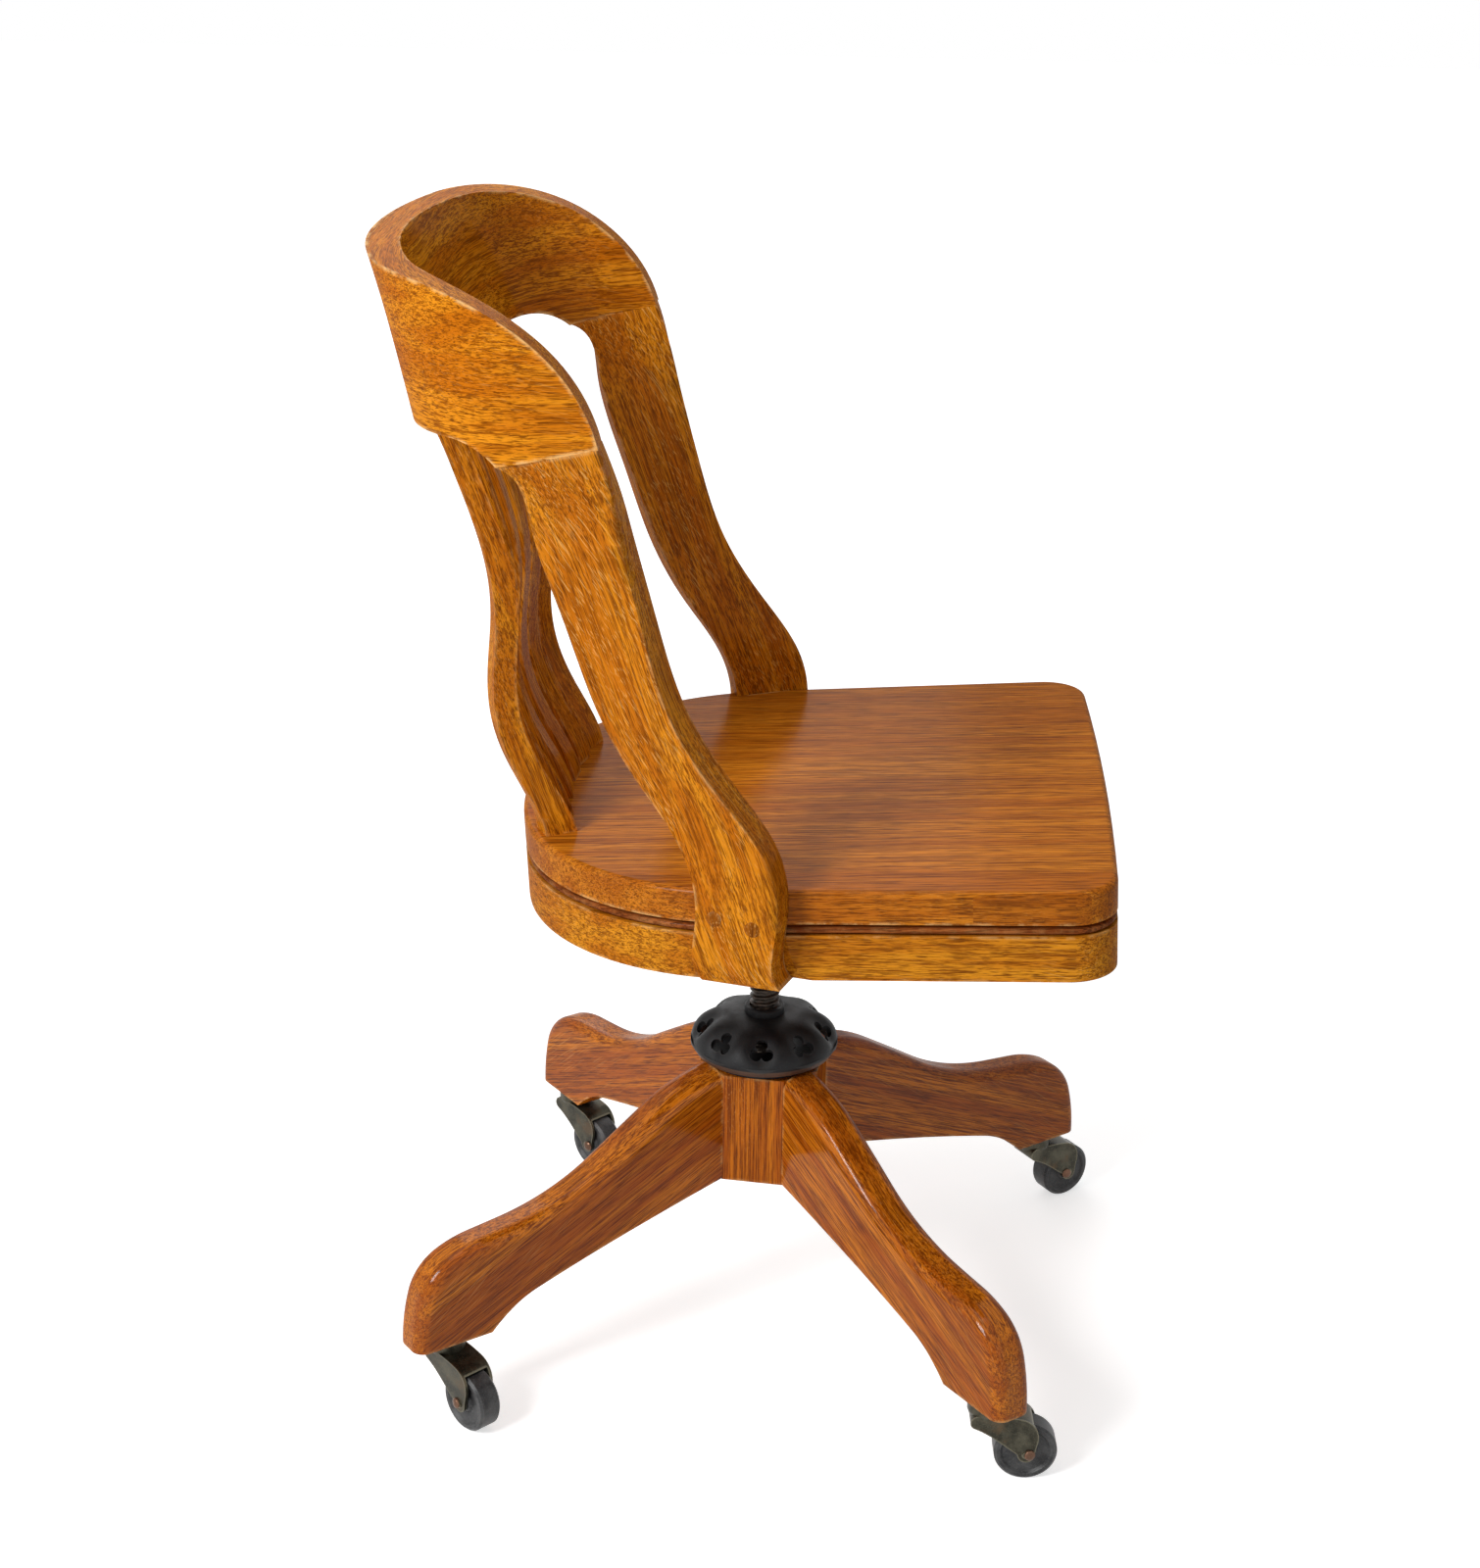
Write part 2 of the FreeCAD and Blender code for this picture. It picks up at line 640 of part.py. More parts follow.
# A curved upright built through level rectangular sections.
def upright_loft(label, stations):
    body = new_body(label, seat_place)
    sections = []
    for name, height, out, back, wide, deep, toe, formulas in stations:
        section = new_sketch(body, "Section_" + name, "XY_Plane", offset=Vector(out, back, height), turn=toe)
        rectangle(section, wide, deep, *formulas)
        sections.append(section)
    lofted(body, "Curve", sections)
    return body


margin = size("trim_margin")
joint_ends = (size("joint_front") - margin, size("joint_rear") + margin)
above_joint = size("joint_front_height") + margin
for side, label in ((1, "back_post_left"), (-1, "back_post_right")):
    stations = []
    for station in POST_STATIONS:
        height, out, back, wide, toe = station_sizes(station)
        stations.append((station, height, side * out, back, size("post_thickness"), wide, side * toe,
                         ("Sizes.post_thickness", "Sizes.post_" + station + "_width")))
    post = upright_loft(label, stations)
    side_cut(post, "JointCut", polygon([(joint_ends[0], joint_height(joint_ends[0])),
                                        (joint_ends[1], joint_height(joint_ends[1])),
                                        (joint_ends[1], above_joint), (joint_ends[0], above_joint)]))


# The crest is a horseshoe band: its plan at a low and a high level, lofted, then trimmed to its side view.
def crest_plan(level, inset):
    half = size("crest_" + level + "_half_width") - inset
    corner = size("crest_" + level + "_corner") - inset
    rear = size("crest_" + level + "_rear") - inset
    centre_x = half - corner
    centre_y = size("crest_corner_centre")
    deep = rear - centre_y
    back_radius = (centre_x ** 2 + deep ** 2 - corner ** 2) / (2 * (deep - corner))
    swing = atan2(centre_x, centre_y - rear + back_radius)
    flare = radians(size("crest_flare"))
    leave = (centre_x + corner * cos(flare), centre_y + corner * sin(flare))
    tip = (leave[0] + (leave[1] - size("crest_tip")) * tan(flare), size("crest_tip"))
    halfway = (flare + pi / 2 - swing) / 2
    middle = (centre_x + corner * cos(halfway), centre_y + corner * sin(halfway))
    join = (back_radius * sin(swing), rear - back_radius + back_radius * cos(swing))
    return tip, leave, middle, join, (0, rear)


def crest_section(body, level):
    section = new_sketch(body, "Crest_" + level, "XY_Plane", lift="Sizes.crest_" + level)
    curves = []
    tips = []
    for inset in (0, size("crest_thickness")):
        tip, leave, middle, join, rear = crest_plan(level, inset)
        curves += [line(tip, leave), arc(leave, middle, join), arc(join, rear, mirrored(join)),
                   arc(*map(mirrored, (join, middle, leave))), line(mirrored(leave), mirrored(tip))]
        tips.append(tip)
    curves += [line(*tips), line(*map(mirrored, tips))]
    draw(section, curves)
    return section


crest = new_body("crest_rail", seat_place)
crest.Tip = lofted(crest, "CrestBand", [crest_section(crest, "low"), crest_section(crest, "high")])
curve_centre = Vector(size("crest_curve_back"), size("crest_curve_foot"), 0)
curve_length = size("crest_curve_length")
curve_height = size("crest_curve_height")
crest_top = curve_centre.y + curve_height
begin = asin((size("joint_front_height") - curve_centre.y) / curve_height)
arm_start = (curve_centre.x - curve_length * cos(begin), size("joint_front_height"))
ellipse = Part.Ellipse(curve_centre, curve_length, curve_height)
beyond = size("crest_high_rear") + margin
front_of_all = size("crest_tip") - margin
above = crest_top + margin
side_cut(crest, "CrestTopCut", [Part.ArcOfEllipse(ellipse, pi / 2, pi - begin)] + polygon(
    [arm_start, (front_of_all, arm_start[1]), (front_of_all, above), (beyond, above), (beyond, crest_top),
     (curve_centre.x, crest_top)])[1:])
under = size("crest_underside")
joint_rear = (size("joint_rear"), size("joint_rear_height"))
sweep_end = (joint_rear[0] + size("crest_sweep"), under)
below = size("crest_low") - margin
side_cut(crest, "CrestUnderCut", tangent_arcs([(joint_rear, (1, 1.1)), (sweep_end, (1, 0))]) + polygon(
    [sweep_end, (beyond, under), (beyond, below), (front_of_all, below),
     (front_of_all, joint_height(front_of_all)), joint_rear])[1:])

# The slats fan out from the rear of the seat to the underside of the crest.
share = (under - size("crest_low")) / (size("crest_high") - size("crest_low"))
plans = [crest_plan(level, size("crest_thickness") / 2) for level in ("low", "high")]
crest_rear = plans[0][4][1] + share * (plans[1][4][1] - plans[0][4][1])
crest_join = [plans[0][3][axis] + share * (plans[1][3][axis] - plans[0][3][axis]) for axis in (0, 1)]
crest_bend = (crest_join[0] ** 2 + (crest_rear - crest_join[1]) ** 2) / (2 * (crest_rear - crest_join[1]))
outermost = (SLAT_COUNT - 1) / 2
for number in range(1, SLAT_COUNT + 1):
    place = number - 1 - outermost
    foot_x = place * size("slat_foot_pitch")
    top_x = place * size("slat_top_pitch")
    foot_y = size("slat_foot_back") - size("slat_foot_curve") * (place / outermost) ** 2
    top_y = crest_rear - crest_bend + sqrt(crest_bend ** 2 - top_x ** 2)
    foot_toe = -place * size("slat_foot_toe")
    top_toe = -place * size("slat_top_toe")
    stations = []
    for step, sway in enumerate(SLAT_SWAYS):
        along = step / (len(SLAT_SWAYS) - 1)
        swell = max(0, 1 - 3 * along)
        thin = size("slat_thickness")
        deep = thin + (size("slat_foot_thickness") - thin) * swell
        deep_formula = "Sizes.slat_thickness * %.3f + Sizes.slat_foot_thickness * %.3f" % (1 - swell, swell)
        across = foot_x + (top_x - foot_x) * along
        back = foot_y + (top_y - foot_y) * along + sway * size("slat_sway")
        toe = foot_toe + (top_toe - foot_toe) * along
        stations.append(("at%d" % step, under * along, across, back, size("slat_width"), deep, toe,
                         ("Sizes.slat_width", deep_formula)))
    upright_loft("slat_%d" % number, stations)


# The socket in the foot above a caster: a flange and a sleeve closed at its top.
def caster_socket(place, heading):
    body = new_body("caster_socket_" + place, heading)
    section = new_sketch(body, "SocketSection", "XZ_Plane")
    inner = size("stem_radius") + size("running_fit")
    outer = size("socket_radius")
    wide = size("socket_flange_radius")
    foot = size("foot_height")
    flange_low = foot - size("socket_flange")
    roof = foot + size("stem_length") + size("socket_room")
    top = roof + size("socket_end")
    draw(section, polygon([(inner, flange_low), (wide, flange_low), (wide, foot), (outer, foot),
                           (outer, top), (0, top), (0, roof), (inner, roof)]))
    turned(body, section, "SocketTurned")


# The fork: a stem on a cup, and a horn that curves down on both sides of the wheel.
def caster_fork(place, heading):
    body = new_body("caster_fork_" + place, heading)
    radius = size("caster_wheel_radius")
    trail = size("caster_trail")
    gap_top = 2 * radius + size("fork_gap")
    crown = gap_top + size("fork_metal")
    cup = size("cup_radius")
    cup_top = size("foot_height") - size("socket_flange") - size("running_fit")
    stem = size("stem_radius")
    stem_top = size("foot_height") + size("stem_length")
    bevel = size("stem_bevel")
    section = new_sketch(body, "StemSection", "XZ_Plane")
    draw(section, polygon([(0, gap_top), (size("cup_foot"), gap_top), (cup, crown + size("cup_depth")),
                           (cup, cup_top), (stem, cup_top), (stem, stem_top - bevel),
                           (stem - bevel, stem_top), (0, stem_top)]))
    turned(body, section, "StemTurned")
    nose = size("fork_nose")
    top_front = (trail * HORN_TOP_HALF, crown * HORN_TOP_HEIGHT)
    top_rear = mirrored(top_front)
    front = [((trail * out, crown * up), way) for (out, up), way in HORN_FRONT]
    rear = [((trail * out, crown * up), way) for (out, up), way in HORN_REAR]
    horn = new_sketch(body, "HornOutline", "XZ_Plane")
    draw(horn, [arc((trail - nose, radius), (trail, radius - nose), (trail + nose, radius))] +
         tangent_arcs([((trail + nose, radius), (0.1, 1))] + front + [(top_front, (-1, 0.05))]) +
         [line(top_front, top_rear)] +
         tangent_arcs([(top_rear, (-1, -0.4))] + rear + [((trail - nose, radius), (0.8, -0.6))]))
    pad(body, horn, "HornBlank", FORK_WIDTH, both=True)
    slot = new_sketch(body, "HornSlot", "XY_Plane", offset=Vector(trail, 0, 0))
    rectangle(slot, gap_top, size("caster_wheel_width") + 2 * size("fork_gap"),
              "2 * Sizes.caster_wheel_radius + 4 * Sizes.fork_gap",
              "Sizes.caster_wheel_width + 2 * Sizes.fork_gap")
    pocket(body, slot, "HornSlotCut", "2 * Sizes.caster_wheel_radius + Sizes.fork_gap", back=True)
    bore = new_sketch(body, "AxleBore", "XZ_Plane")
    circle(bore, "caster_axle_radius", across="caster_trail", up="caster_wheel_radius", room="wood_fit")
    pocket(body, bore, "AxleBoreCut", both=True)


def caster_axle(place, on_axle):
    body = new_body("caster_axle_" + place, on_axle)
    pin = new_sketch(body, "Pin", "XZ_Plane")
    circle(pin, "caster_axle_radius")
    pad(body, pin, "PinPad", FORK_WIDTH + " + 2 * Sizes.caster_axle_end", both=True)


# The wheel: a tread with bevelled edges, dished sides and a hub.
def caster_wheel(place, on_axle):
    body = new_body("caster_wheel_" + place, on_axle)
    section = new_sketch(body, "WheelSection", "XY_Plane")
    radius = size("caster_wheel_radius")
    wide = size("caster_wheel_width") / 2
    bevel = size("caster_wheel_bevel")
    hub = size("caster_wheel_hub")
    tread = radius - size("caster_tread_depth")
    bore = size("caster_axle_radius") + size("running_fit")
    half = [(bore, wide), (hub, wide), (hub + bevel, wide - bevel), (tread - bevel, wide - bevel),
            (tread, wide), (radius - bevel, wide), (radius, wide - bevel)]
    other_half = [(out, -across) for out, across in reversed(half)]
    draw(section, polygon(half + other_half))
    turned(body, section, "WheelTurned")


# A caster trails from its stem; its axle stands at the end of the trail, one wheel radius up.
def make_caster(place, quarter):
    spot = Rotation(Z_AXIS, size("leg_turn") + 90 * quarter).multVec(X_AXIS * size("caster_circle"))
    heading = Placement(spot, Rotation(Z_AXIS, CASTER_HEADINGS[place]))
    axle_spot = heading.multVec(Vector(size("caster_trail"), 0, size("caster_wheel_radius")))
    on_axle = Placement(axle_spot, heading.Rotation)
    caster_socket(place, heading)
    caster_fork(place, heading)
    caster_axle(place, on_axle)
    caster_wheel(place, on_axle)


for place, quarter in LEGS.items():
    make_caster(place, quarter)

doc.recompute()
for item in doc.Objects:
    if "Invalid" in item.State or "Error" in item.State:
        raise RuntimeError("object in error: " + item.Label)
os.makedirs("parts", exist_ok=True)
for piece in parts:
    shape = piece.Shape
    if shape.isNull() or not shape.isValid():
        raise RuntimeError("bad shape: " + piece.Label)
    shape.exportStep("parts/" + piece.Label + ".step")
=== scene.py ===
from math import cos, exp, pi, radians, sin, sqrt

import bmesh
import bpy
from mathutils import Matrix, Vector


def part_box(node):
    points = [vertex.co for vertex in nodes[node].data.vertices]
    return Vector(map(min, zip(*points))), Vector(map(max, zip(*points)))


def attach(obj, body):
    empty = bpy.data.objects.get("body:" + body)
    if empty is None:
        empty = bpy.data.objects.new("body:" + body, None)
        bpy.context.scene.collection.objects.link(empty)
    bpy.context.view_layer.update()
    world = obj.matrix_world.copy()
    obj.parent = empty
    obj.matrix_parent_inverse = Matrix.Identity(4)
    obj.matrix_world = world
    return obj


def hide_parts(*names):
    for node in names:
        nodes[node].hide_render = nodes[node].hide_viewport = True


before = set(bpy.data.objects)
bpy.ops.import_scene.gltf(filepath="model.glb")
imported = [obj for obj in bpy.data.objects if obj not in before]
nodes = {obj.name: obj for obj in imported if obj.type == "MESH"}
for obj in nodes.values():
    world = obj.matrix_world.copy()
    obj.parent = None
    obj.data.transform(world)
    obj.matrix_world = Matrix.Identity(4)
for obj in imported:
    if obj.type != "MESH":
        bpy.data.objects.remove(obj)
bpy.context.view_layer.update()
scene = bpy.context.scene
scene.view_settings.view_transform = "Standard"

LEG_ANGLES = {"rear_left": 37.5, "rear_right": 127.5, "front_right": 217.5, "front_left": 307.5}
SEAT_HEIGHT = 0.4922
SEAT_LEAN = radians(2.9)
SEAT_FRAME = Matrix.Translation((0, 0, SEAT_HEIGHT)) @ Matrix.Rotation(-SEAT_LEAN, 4, "X")


# Camera: the photograph's viewpoint, to the right of the chair and above it.
CAMERA_PLACE = Vector((-2.1449, -0.0814, 1.3346))
CAMERA_YAW = radians(2.829)
CAMERA_PITCH = radians(20.98)
CAMERA_ROLL = radians(0.756)
FOCAL_PIXELS = 2843.6
PHOTO_HEIGHT = 1600
SHIFT_PIXELS = (0.9, -25.7)

level_ahead = Vector((cos(CAMERA_YAW), sin(CAMERA_YAW), 0))
forward = level_ahead * cos(CAMERA_PITCH) - Vector((0, 0, sin(CAMERA_PITCH)))
level_right = forward.cross(Vector((0, 0, 1))).normalized()
level_up = level_right.cross(forward)
right = cos(CAMERA_ROLL) * level_right + sin(CAMERA_ROLL) * level_up
up = cos(CAMERA_ROLL) * level_up - sin(CAMERA_ROLL) * level_right
camera_data = bpy.data.cameras.new("camera")
camera_data.lens = FOCAL_PIXELS / PHOTO_HEIGHT * 36
camera_data.sensor_width = 36
camera_data.shift_x = SHIFT_PIXELS[0] / PHOTO_HEIGHT
camera_data.shift_y = SHIFT_PIXELS[1] / PHOTO_HEIGHT
camera_data.clip_end = 50
camera = bpy.data.objects.new("camera", camera_data)
camera.matrix_world = Matrix.Translation(CAMERA_PLACE) @ Matrix((right, up, -forward)).transposed().to_4x4()
scene.collection.objects.link(camera)
scene.camera = camera


# Light: soft boxes around the chair, the brightest behind its right shoulder.
def soft_box(name, place, width, height, watts):
    data = bpy.data.lights.new(name, "AREA")
    data.shape = "RECTANGLE"
    data.size = width
    data.size_y = height
    data.energy = watts
    lamp = bpy.data.objects.new(name, data)
    lamp.location = place
    lamp.rotation_euler = (Vector((0, 0, 0.5)) - Vector(place)).to_track_quat("-Z", "Y").to_euler()
    scene.collection.objects.link(lamp)


soft_box("key", (-2.3, 2.1, 2.5), 1.2, 1.2, 112)
soft_box("fill", (-2.4, -2.2, 1.5), 2.2, 1.8, 5)
soft_box("top", (0.3, 0.2, 3.0), 2.4, 2.4, 20)
soft_box("rim", (2.4, 0.6, 1.6), 1.6, 1.6, 14)


# Node helpers
def put(tree, socket, value):
    """Gives a socket a value, or links it to another node's output."""
    if isinstance(value, bpy.types.NodeSocket):
        tree.links.new(value, socket)
    elif isinstance(value, tuple) and socket.type == "RGBA":
        socket.default_value = (*value, 1)
    else:
        socket.default_value = value


def add(tree, kind, inputs, **settings):
    node = tree.nodes.new(kind)
    for name, value in settings.items():
        setattr(node, name, value)
    for name, value in inputs.items():
        put(tree, node.inputs[name], value)
    return node


def maths(tree, operation, first, second=0.0):
    return add(tree, "ShaderNodeMath", {0: first, 1: second}, operation=operation).outputs[0]


def noise(tree, vector, detail, rough, bend=0.0):
    inputs = {"Vector": vector, "Scale": 1.0, "Detail": detail, "Roughness": rough, "Distortion": bend}
    return add(tree, "ShaderNodeTexNoise", inputs).outputs["Fac"]


def fade(tree, value, start, end, low=0.0, high=1.0):
    inputs = {"Value": value, "From Min": start, "From Max": end, "To Min": low, "To Max": high}
    return add(tree, "ShaderNodeMapRange", inputs, interpolation_type="SMOOTHSTEP").outputs[0]


def mix(tree, amount, first, second):
    node = add(tree, "ShaderNodeMix", {}, data_type="RGBA", clamp_factor=True)
    for name, value in (("Factor", amount), ("A", first), ("B", second)):
        socket = [item for item in node.inputs if item.name == name and item.enabled][0]
        put(tree, socket, value)
    return [item for item in node.outputs if item.enabled][0]


def stretched(tree, vector, amounts):
    return add(tree, "ShaderNodeVectorMath", {0: vector, 1: amounts}, operation="MULTIPLY").outputs[0]


def shift(tree, vector, offset):
    return add(tree, "ShaderNodeVectorMath", {0: vector, 1: offset}, operation="ADD").outputs[0]


def place_of(tree):
    return add(tree, "ShaderNodeTexCoord", {}).outputs["Object"]


def bump(tree, height, strength, distance):
    inputs = {"Height": height, "Strength": strength, "Distance": distance}
    return add(tree, "ShaderNodeBump", inputs).outputs[0]


def dim(colour, share):
    return tuple(share * channel for channel in colour)


def new_material(name):
    material = bpy.data.materials.new(name)
    material.use_nodes = True
    return material, material.node_tree, material.node_tree.nodes["Principled BSDF"]


def shown(tree):
    """One where a surface is seen by the camera, in a gloss or through glass; zero for light that falls."""
    path = add(tree, "ShaderNodeLightPath", {})
    seen = maths(tree, "MAXIMUM", path.outputs["Is Camera Ray"], path.outputs["Is Glossy Ray"])
    return maths(tree, "MAXIMUM", seen, path.outputs["Is Transmission Ray"])


# Surroundings: white all round where they show, and a pale floor that takes the chair's shadow.
FALLING_LIGHT = 0.25
FLOOR_GLOW_NEAR = 0.60
FLOOR_NEAR = 1.0
FLOOR_FAR = 4.5

world = bpy.data.worlds.new("studio")
world.use_nodes = True
sky = world.node_tree
sky.nodes["Background"].inputs["Color"].default_value = (1, 1, 1, 1)
put(sky, sky.nodes["Background"].inputs["Strength"], fade(sky, shown(sky), 0, 1, FALLING_LIGHT, 1.0))
scene.world = world

floor_paint, tree, shader = new_material("floor_paint")
shader.inputs["Base Color"].default_value = (0.8, 0.8, 0.8, 1)
shader.inputs["Roughness"].default_value = 0.9
shader.inputs["Specular IOR Level"].default_value = 0.1
distance = add(tree, "ShaderNodeVectorMath", {0: place_of(tree)}, operation="LENGTH").outputs["Value"]
glow_level = fade(tree, distance, FLOOR_NEAR, FLOOR_FAR, FLOOR_GLOW_NEAR, 1.0)
glow_level = maths(tree, "MULTIPLY", shown(tree), glow_level)
glow = add(tree, "ShaderNodeEmission", {"Color": (1, 1, 1), "Strength": glow_level})
both = add(tree, "ShaderNodeAddShader", {0: shader.outputs[0], 1: glow.outputs[0]})
put(tree, tree.nodes["Material Output"].inputs["Surface"], both.outputs[0])
floor_mesh = bpy.data.meshes.new("floor")
floor_mesh.from_pydata([(-9, -9, 0), (9, -9, 0), (9, 9, 0), (-9, 9, 0)], [], [(0, 1, 2, 3)])
floor_mesh.materials.append(floor_paint)
floor = bpy.data.objects.new("floor", floor_mesh)
scene.collection.objects.link(floor)


# Wood
def straight_grain(direction, cant=0.0):
    """Coordinates whose X runs along the grain; cant turns them away from it by an angle."""
    way = Vector(direction).to_track_quat("X", "Z").to_matrix()
    turned = (way @ Matrix.Rotation(cant, 3, "Y")).to_euler()

    def coordinates(tree):
        node = add(tree, "ShaderNodeVectorRotate", {"Vector": place_of(tree), "Rotation": tuple(turned)},
                   rotation_type="EULER_XYZ", invert=True)
        return node.outputs[0]
    return coordinates


def bent_grain(cant, bend_start, half_width, bend_depth, bend_power=3.0):
    """Grain that runs back along one arm of a horseshoe, round the bend and forward along the other."""

    def coordinates(tree):
        split = add(tree, "ShaderNodeSeparateXYZ", {0: place_of(tree)})
        out = maths(tree, "ABSOLUTE", split.outputs[0])
        behind = maths(tree, "MAXIMUM", maths(tree, "SUBTRACT", split.outputs[1], bend_start), 0.0)
        behind = maths(tree, "MULTIPLY", behind, half_width / bend_depth)
        ahead = maths(tree, "MINIMUM", split.outputs[1], bend_start)
        angle = maths(tree, "ARCTAN2", behind, out)
        along = maths(tree, "ADD", ahead, maths(tree, "MULTIPLY", angle, half_width))
        powers = [maths(tree, "POWER", share, bend_power) for share in (out, behind)]
        across = maths(tree, "POWER", maths(tree, "ADD", *powers), 1 / bend_power)
        rise = split.outputs[2]
        slid = maths(tree, "ADD", along, maths(tree, "MULTIPLY", rise, sin(cant)))
        lifted = maths(tree, "SUBTRACT", maths(tree, "MULTIPLY", rise, cos(cant)),
                       maths(tree, "MULTIPLY", along, sin(cant)))
        return add(tree, "ShaderNodeCombineXYZ", {0: slid, 1: across, 2: lifted}).outputs[0]
    return coordinates


def worn_and_highlit_edge(tree, reach):
    """High on outer edges, where the inside of the piece is thin within the reach: the mask for edges painted
    paler, partly as rubbed wear and partly as a painted highlight.
    """
    inside = add(tree, "ShaderNodeAmbientOcclusion", {"Distance": reach}, samples=6, inside=True,
                 only_local=True)
    return fade(tree, inside.outputs["AO"], 0.92, 0.6)


def oak(name, grain, fleck_grain, light, dark, fleck, roughness, flecks=0.45, wear_and_highlight=0.4, coat=0.08, boards=0.0,
        coat_roughness=0.2):
    material, tree, shader = new_material(name)
    place = place_of(tree)
    along = grain(tree)
    if boards:
        across = add(tree, "ShaderNodeSeparateXYZ", {0: along}).outputs[1]
        board = maths(tree, "FLOOR", maths(tree, "DIVIDE", across, boards))
        tone = add(tree, "ShaderNodeTexWhiteNoise", {"W": board}, noise_dimensions="1D").outputs["Value"]
        along = shift(tree, along, add(tree, "ShaderNodeCombineXYZ", {0: board, 1: 0.0, 2: tone}).outputs[0])
    bands = noise(tree, stretched(tree, along, (1.6, 60.0, 60.0)), 3.0, 0.55, 0.3)
    lines = noise(tree, stretched(tree, along, (11.0, 520.0, 520.0)), 4.0, 0.7, 0.15)
    pores = noise(tree, stretched(tree, along, (36.0, 1500.0, 1500.0)), 2.0, 0.5)
    ground = mix(tree, fade(tree, bands, 0.36, 0.64, 0.0, 0.85), light, dark)
    if boards:
        ground = mix(tree, fade(tree, tone, 0.3, 1.0, 0.0, 0.5), ground, dim(dark, 0.8))
    ground = mix(tree, fade(tree, lines, 0.46, 0.60, 0.0, 0.9), ground, dim(dark, 0.52))
    pore_mask = fade(tree, pores, 0.52, 0.64, 0.0, 0.85)
    ground = mix(tree, pore_mask, ground, dim(dark, 0.28))
    rays = noise(tree, stretched(tree, fleck_grain(tree), (22.0, 1100.0, 1100.0)), 2.0, 0.45)
    patches = noise(tree, stretched(tree, along, (9.0, 22.0, 22.0)), 2.0, 0.5)
    ray_mask = maths(tree, "MULTIPLY", fade(tree, rays, 0.57, 0.67, 0.0, flecks),
                     fade(tree, patches, 0.4, 0.6, 0.2))
    ground = mix(tree, ray_mask, ground, fleck)
    stains = noise(tree, stretched(tree, place, (9.0, 9.0, 9.0)), 4.0, 0.6)
    ground = mix(tree, fade(tree, stains, 0.56, 0.8, 0.0, 0.4), ground, dim(dark, 0.6))
    # Outer edges painted paler in patches: partly rubbed wear, partly a painted highlight along the edges.
    wear_and_highlight_patches = noise(tree, stretched(tree, place, (55.0, 55.0, 55.0)), 4.0, 0.65)
    worn_and_highlit = maths(tree, "MULTIPLY", worn_and_highlit_edge(tree, 0.0035), fade(tree, wear_and_highlight_patches, 0.42, 0.62, 0.0, wear_and_highlight))
    ground = mix(tree, worn_and_highlit, ground, WORN_AND_HIGHLIT_WOOD)
    put(tree, shader.inputs["Base Color"], ground)
    put(tree, shader.inputs["Roughness"], fade(tree, lines, 0.3, 0.8, roughness - 0.06, roughness + 0.12))
    shader.inputs["Specular IOR Level"].default_value = 0.0
    shader.inputs["Coat Weight"].default_value = coat
    shader.inputs["Coat Roughness"].default_value = coat_roughness
    put(tree, shader.inputs["Normal"], bump(tree, maths(tree, "MULTIPLY", pore_mask, -1.0), 0.3, 0.0003))
    return material


RUSTY_IRON = (0.10, 0.055, 0.035)
# Pale edge colour: partly rubbed wood, partly a painted highlight.
WORN_AND_HIGHLIT_WOOD = (0.84, 0.50, 0.19)


def metal(name, dark, light, metallic, roughness, grit, rust=None, specular=0.3, wear_and_highlight=0.5, bare_below=0.0):
    material, tree, shader = new_material(name)
    place = place_of(tree)
    clouds = noise(tree, stretched(tree, place, (60.0, 60.0, 60.0)), 5.0, 0.6)
    fine = noise(tree, stretched(tree, place, (900.0, 900.0, 900.0)), 3.0, 0.6)
    colour = mix(tree, fade(tree, clouds, 0.35, 0.7), dark, light)
    colour = mix(tree, fade(tree, fine, 0.5, 0.75, 0.0, 0.5), colour, dim(light, 1.6))
    if rust:
        patches = noise(tree, stretched(tree, place, (38.0, 38.0, 38.0)), 4.0, 0.65)
        colour = mix(tree, fade(tree, patches, 0.54, 0.7, 0.0, 0.6), colour, rust)
    if bare_below:
        height = add(tree, "ShaderNodeSeparateXYZ", {0: place}).outputs[2]
        bare = fade(tree, height, bare_below, bare_below - 0.001, 0.0, 0.8)
        colour = mix(tree, bare, colour, RUSTY_IRON)
    # Outer edges painted paler: partly worn metal, partly a painted highlight.
    colour = mix(tree, maths(tree, "MULTIPLY", worn_and_highlit_edge(tree, 0.0015), wear_and_highlight), colour, dim(light, 3.0))
    put(tree, shader.inputs["Base Color"], colour)
    shader.inputs["Metallic"].default_value = metallic
    shader.inputs["Specular IOR Level"].default_value = specular
    put(tree, shader.inputs["Roughness"], fade(tree, clouds, 0.3, 0.75, roughness - 0.08, roughness + 0.12))
    put(tree, shader.inputs["Normal"], bump(tree, fine, grit, 0.0004))
    return material


BACK = ((0.72, 0.255, 0.010), (0.50, 0.125, 0.003), (0.90, 0.50, 0.13))
EDGE = ((0.70, 0.270, 0.014), (0.48, 0.130, 0.005), (0.78, 0.40, 0.10))
SEAT = ((0.62, 0.200, 0.012), (0.42, 0.105, 0.005), (0.62, 0.30, 0.07))
BASE = ((0.60, 0.175, 0.008), (0.36, 0.072, 0.003), (0.70, 0.30, 0.07))
CREST_BEND = (0.10, 0.25, 0.165)
SEAT_BEND = (0.05, 0.225, 0.20, 2.2)
LEAN_UP = SEAT_FRAME.to_3x3() @ Vector((0, 0.3, 1))

